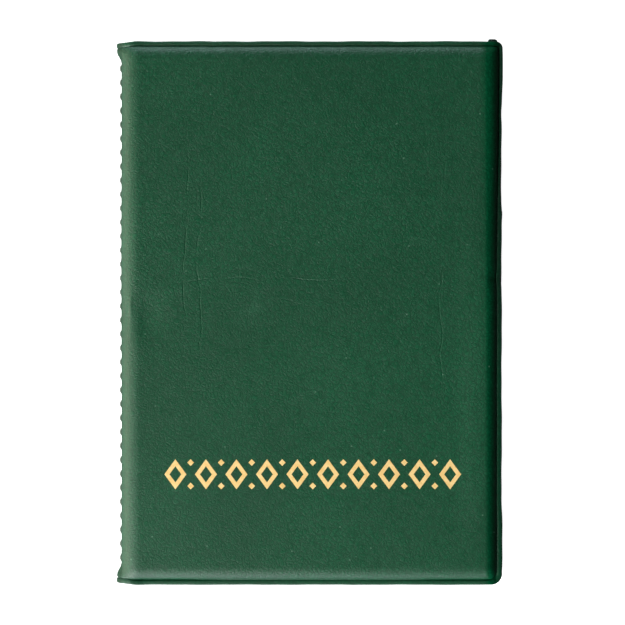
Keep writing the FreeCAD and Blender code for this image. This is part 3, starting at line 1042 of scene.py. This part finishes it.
def ruled_paper():
    """Uncoated paper with pale ruled lines and one margin line, on both faces."""
    n = Nodes("ruled_paper")
    fibres = n.noise(1.6, 6.0, 0.7)
    paper = n.mix(n.span(fibres, 0.3, 0.7), rgb(0.80, 0.78, 0.70), rgb(0.86, 0.84, 0.77))
    spacing = 6.5
    phase = n.math("FRACT", n.math("DIVIDE", n.math("ADD", n.axis("Y"), 100.0), spacing))
    from_line = n.math("ABSOLUTE", n.math("SUBTRACT", phase, 0.5))
    line_half_width = 0.022
    head_margin_y = 50.0
    line = n.math("LESS_THAN", from_line, line_half_width)
    line = n.math("MULTIPLY", line, n.math("LESS_THAN", n.axis("Y"), head_margin_y))
    colour = n.mix(n.math("MULTIPLY", line, 0.75), paper, rgb(0.30, 0.42, 0.58))
    margin_x = -28.0
    margin_half_width = 0.14
    from_margin = n.math("ABSOLUTE", n.math("SUBTRACT", n.axis("X"), margin_x))
    margin = n.math("LESS_THAN", from_margin, margin_half_width)
    colour = n.mix(n.math("MULTIPLY", margin, 0.7), colour, rgb(0.62, 0.25, 0.25))
    n.set(Base_Color=colour, Roughness=0.85, Normal=n.bump(fibres, 0.02, 0.5))
    return n.material


def thread():
    n = Nodes("thread")
    fibres = n.noise(6.0, 4.0, 0.7, n.stretch(1.0, 1.0, 3.0))
    colour = n.mix(n.span(fibres, 0.3, 0.7), rgb(0.085, 0.11, 0.085), rgb(0.19, 0.225, 0.185))
    n.set(Base_Color=colour, Roughness=0.7, Normal=n.bump(fibres, 0.05, 0.7))
    n.set(Sheen_Weight=0.3, Sheen_Roughness=0.5)
    return n.material


def gold_foil():
    """Hot-stamped foil, a little worn so that the grain shows through as specks."""
    n = Nodes("gold_foil")
    grain = leather_height(n)
    worn = n.span(n.noise(2.6, 5.0, 0.75), 0.66, 0.72)
    tone = n.noise(0.8, 4.0, 0.6)
    gold = n.mix(n.span(tone, 0.3, 0.7), rgb(0.88, 0.56, 0.19), rgb(0.96, 0.70, 0.31))
    colour = n.mix(worn, gold, rgb(0.16, 0.16, 0.06))
    n.set(
        Base_Color=colour,
        Roughness=n.span(tone, 0.3, 0.7, 0.36, 0.5),
        Normal=n.bump(grain, 0.04, 0.4),
        Metallic=0.12,
    )
    return n.material


MATERIAL_MAKERS = (
    cover_vinyl, lining_vinyl, foam, greyboard, clear_film, ruled_paper, thread, gold_foil
)
MATERIALS = {make.__name__: make() for make in MATERIAL_MAKERS}


# ---------------------------------------------------------------- putting it together


def finish_piece(piece, slot, *nodes):
    """Gives a piece its material and hides the CAD nodes it stands for."""
    piece.data.materials.append(MATERIALS[slot])
    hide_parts(*nodes)
    return piece


def spine_bend(piece):
    """Bakes a sheet's placement into its points."""
    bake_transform(piece)


def add_cover(cover, side):
    """The skin, lining, foam and pocket flap of one cover."""
    prefix = cover.split("_")[0]
    skin = cover_skin(f"{prefix}_leathercloth", side)
    finish_piece(skin, "cover_vinyl", f"{prefix}_skin", "spine_skin")
    spine_bend(skin)
    lining = cover_lining(f"{prefix}_lining_sheet", side)
    finish_piece(lining, "lining_vinyl", f"{prefix}_lining", "spine_lining")
    spine_bend(lining)
    pad = cover_pad(f"{prefix}_foam", side)
    finish_piece(pad, "foam", f"{prefix}_pad")
    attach(pad, cover)
    flap = pocket_flap(f"{prefix}_pocket_flap", f"{prefix}_pocket", side)
    finish_piece(flap, "clear_film", f"{prefix}_pocket")
    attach(flap, cover)


def paint_cad_nodes():
    """Materials for the CAD nodes that stay on show."""
    slots = {row["node"]: row["material_slot"] for row in frame["record"]["subparts"]}
    for name, node in frame["nodes"].items():
        if not node.hide_render:
            for material_slot in node.material_slots:
                material_slot.material = MATERIALS[slots[name]]


add_cover("front_cover", 1)
add_cover("back_cover", -1)
for leaf_number in range(1, LEAF_COUNT + 1):
    add_leaf(leaf_number, MATERIALS["clear_film"])
thread_piece = finish_piece(sewn_thread(), "thread", "spine_stitching")
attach(thread_piece, "spine")
foil_piece = finish_piece(foil_ornament(), "gold_foil", "foil_ornament")
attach(foil_piece, "front_cover")
paint_cad_nodes()


# ---------------------------------------------------------------- studio


def stage_mesh(name, points, faces, base, glow):
    """A white surface of the studio, with points in metres."""
    mesh = bpy.data.meshes.new(name)
    mesh.from_pydata(points, [], faces)
    n = Nodes(name + "_white")
    n.set(Base_Color=rgb(base, base, base), Roughness=0.9, Specular_IOR_Level=0.0)
    n.set(Emission_Color=rgb(1, 1, 1), Emission_Strength=glow)
    mesh.materials.append(n.material)
    piece = bpy.data.objects.new(name, mesh)
    bpy.context.collection.objects.link(piece)
    return piece


def camera_only(piece):
    """Keeps a surface out of the light, so that only the camera sees it."""
    piece.visible_diffuse = False
    piece.visible_glossy = False
    piece.visible_transmission = False
    piece.visible_shadow = False


def floor():
    """A white table that bounces light, and white surfaces that only the camera sees."""
    half = 3.0
    table_z = -0.0006
    sheet_z = -0.0005
    corners = [(-half, -half), (half, -half), (half, half), (-half, half)]
    table_points = [(x, y, table_z) for x, y in corners]
    table = stage_mesh("table", table_points, [(0, 1, 2, 3)], base=0.9, glow=0.0)
    table.visible_camera = False
    sheet_points = [(x, y, sheet_z) for x, y in corners]
    sheet = stage_mesh("white_sheet", sheet_points, [(0, 1, 2, 3)], base=0.85, glow=0.97)
    camera_only(sheet)
    radius, foot, top = 2.9, -0.01, 1.2
    sides = 48
    turn = [2 * math.pi * i / sides for i in range(sides)]
    ring = [(radius * math.cos(a), radius * math.sin(a)) for a in turn]
    points = [(x, y, foot) for x, y in ring] + [(x, y, top) for x, y in ring]
    faces = [(i, (i + 1) % sides, sides + (i + 1) % sides, sides + i) for i in range(sides)]
    camera_only(stage_mesh("surround", points, faces, base=0.0, glow=0.93))


def panel(name, azimuth, elevation, width, height, watts, colour, reach):
    """A soft light standing off at a compass angle (0 is +X) and aimed at the notebook."""
    turn, tilt = math.radians(azimuth), math.radians(elevation)
    flat = reach * math.cos(tilt)
    data = bpy.data.lights.new(name, "AREA")
    data.shape = "RECTANGLE"
    data.size, data.size_y = width, height
    data.energy = watts
    data.color = colour
    lamp = bpy.data.objects.new(name, data)
    lamp.location = (flat * math.cos(turn), flat * math.sin(turn), reach * math.sin(tilt))
    lamp.rotation_euler = (-lamp.location).to_track_quat("-Z", "Y").to_euler()
    lamp.visible_camera = False
    bpy.context.collection.objects.link(lamp)


def studio():
    """Light from the spine side, the head and the tail, and none from the fore-edge side."""
    white = (1.0, 1.0, 1.0)
    warm = (1.0, 0.9, 0.74)
    cool = (0.72, 0.96, 1.0)
    violet = (0.86, 0.8, 1.0)
    ivory = (1.0, 1.0, 0.98)
    world = bpy.data.worlds.new("studio")
    world.use_nodes = True
    background = world.node_tree.nodes["Background"]
    background.inputs["Color"].default_value = rgb(*white)
    background.inputs["Strength"].default_value = 0.045
    bpy.context.scene.world = world
    # name, compass angle, elevation, width, height, watts, colour, how far off
    panel("spine_low", 180, 18, 1.2, 0.45, 9.8, warm, 1.3)
    panel("spine_grazing", 180, 4, 1.2, 0.11, 3.4, warm, 1.3)
    panel("head_low", 106, 12, 0.7, 0.33, 8.8, cool, 1.1)
    panel("tail_low", -125, 18, 0.8, 0.45, 9.7, white, 1.3)
    panel("tail_square", -104, 16, 0.7, 0.35, 5.0, violet, 1.1)
    panel("tail_near", -132, 34, 0.4, 0.3, 3.1, ivory, 0.55)


def camera():
    """Square on to the front cover, from far enough off that the sides hardly show."""
    view_height = 0.15579
    aim_x = 0.00073
    aim_y = 0.000145
    data = bpy.data.cameras.new("camera")
    data.lens = 120.0
    data.sensor_width = 36.0
    distance = view_height * data.lens / data.sensor_width
    eye = bpy.data.objects.new("camera", data)
    eye.location = (aim_x, aim_y, MID * MM + distance)
    eye.rotation_euler = (0, 0, 0)
    data.clip_end = 10.0
    bpy.context.collection.objects.link(eye)
    bpy.context.scene.camera = eye


floor()
studio()
camera()
bpy.context.scene.view_settings.view_transform = "Standard"
bpy.context.scene.view_settings.look = "None"
